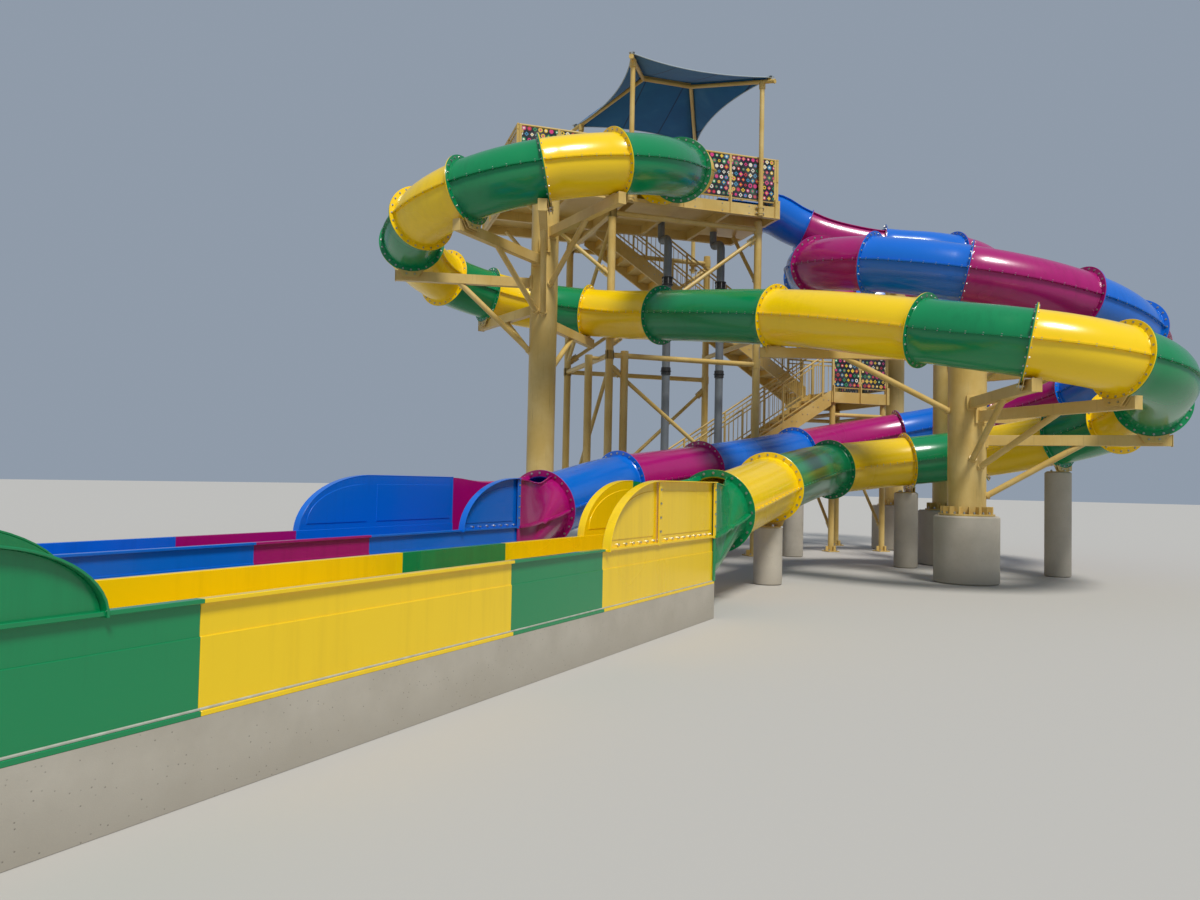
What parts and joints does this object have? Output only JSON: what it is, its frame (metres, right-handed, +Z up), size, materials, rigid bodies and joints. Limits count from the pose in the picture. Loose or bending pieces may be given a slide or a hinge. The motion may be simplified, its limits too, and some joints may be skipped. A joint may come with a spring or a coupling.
{
  "type": "water slide tower",
  "caption": "Stair tower with a shaded platform and winding closed flumes that end in open run-out lanes, for a water park.",
  "frame": {"origin": "on the ground in the middle of the slide", "axes": "+Z up; the run-out lanes lie along Y and end at -Y; +X to the right of a person looking from the lane ends to the tower"},
  "size_m": [14.1244, 25.2356, 11.045],
  "materials": {
    "gelcoat_yellow": "glossy gelcoat on fibreglass",
    "gelcoat_green": "glossy gelcoat on fibreglass",
    "gelcoat_blue": "glossy gelcoat on fibreglass",
    "gelcoat_magenta": "glossy gelcoat on fibreglass",
    "tan_steel": "satin tan paint",
    "concrete": "cast concrete",
    "sail_fabric": "woven shade cloth",
    "pipe": "grey plastic pipe"
  },
  "bodies": {
    "root": {"a_exit_transition": "gelcoat_green", "a_exit_run": "gelcoat_yellow", "a_lower_bend": "gelcoat_green", "a_right_turn": "gelcoat_yellow", "a_long_run": "gelcoat_green", "a_left_turn": "gelcoat_yellow", "a_start_bend": "gelcoat_green", "a_start_tub": "gelcoat_yellow", "b_exit_transition": "gelcoat_magenta", "b_exit_run": "gelcoat_blue", "b_lower_bend": "gelcoat_magenta", "b_right_turn": "gelcoat_blue", "b_near_run": "gelcoat_magenta", "b_cross_run": "gelcoat_blue", "b_loop": "gelcoat_magenta", "b_start_trough": "gelcoat_magenta", "b_start_tub": "gelcoat_magenta", "a_lane": "gelcoat_yellow", "a_lane_end": "gelcoat_green", "b_lane": "gelcoat_blue", "b_lane_end": "gelcoat_blue", "tower_frame": "tan_steel", "platform": "tan_steel", "guard_front_left": "tan_steel", "guard_front_right": "tan_steel", "guard_right": "tan_steel", "guard_back": "tan_steel", "guard_left": "tan_steel", "landing": "tan_steel", "landing_frame": "tan_steel", "landing_guard": "tan_steel", "lower_flight": "tan_steel", "upper_flight": "tan_steel", "lower_rail_front": "tan_steel", "lower_rail_back": "tan_steel", "upper_rail_front": "tan_steel", "upper_rail_back": "tan_steel", "canopy_frame": "tan_steel", "column_left": "tan_steel", "column_right": "tan_steel", "column_far": "tan_steel", "column_mid": "tan_steel", "a_footing": "concrete", "b_footing": "concrete", "column_left_pier": "concrete", "column_right_pier": "concrete", "column_far_pier": "concrete", "column_mid_pier": "concrete", "pier_a_1": "concrete", "pier_a_2": "concrete", "pier_a_3": "concrete", "pier_b_1": "concrete", "pier_b_2": "concrete", "canopy_sail": "sail_fabric", "riser_a": "pipe", "riser_b": "pipe"}
  },
  "joints": []
}
